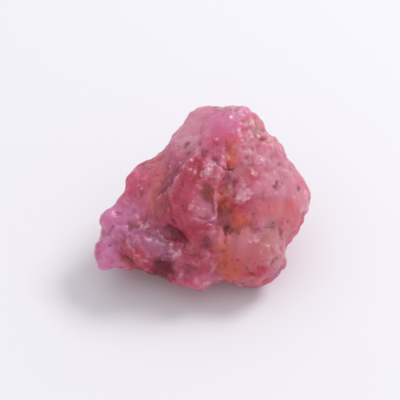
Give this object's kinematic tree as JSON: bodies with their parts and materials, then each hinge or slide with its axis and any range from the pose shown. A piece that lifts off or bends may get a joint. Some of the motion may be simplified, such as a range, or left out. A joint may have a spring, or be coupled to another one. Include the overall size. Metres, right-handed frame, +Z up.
{
  "type": "raw ruby crystal",
  "caption": "Rough uncut ruby, a worn pink-red corundum crystal with lumpy faces, ledges and pits, resting on a flat parting face.",
  "frame": {"origin": "a point near the middle of the flat base, on the surface that the crystal rests on", "axes": "+Z up out of the base, +X across the broad face to its pointed right side, -Y towards the broad leaning face"},
  "size_m": [0.0151, 0.011, 0.0103],
  "materials": {
    "ruby": "translucent, half frosted and half waxy"
  },
  "bodies": {
    "root": {"ruby_crystal": "ruby"}
  },
  "joints": []
}
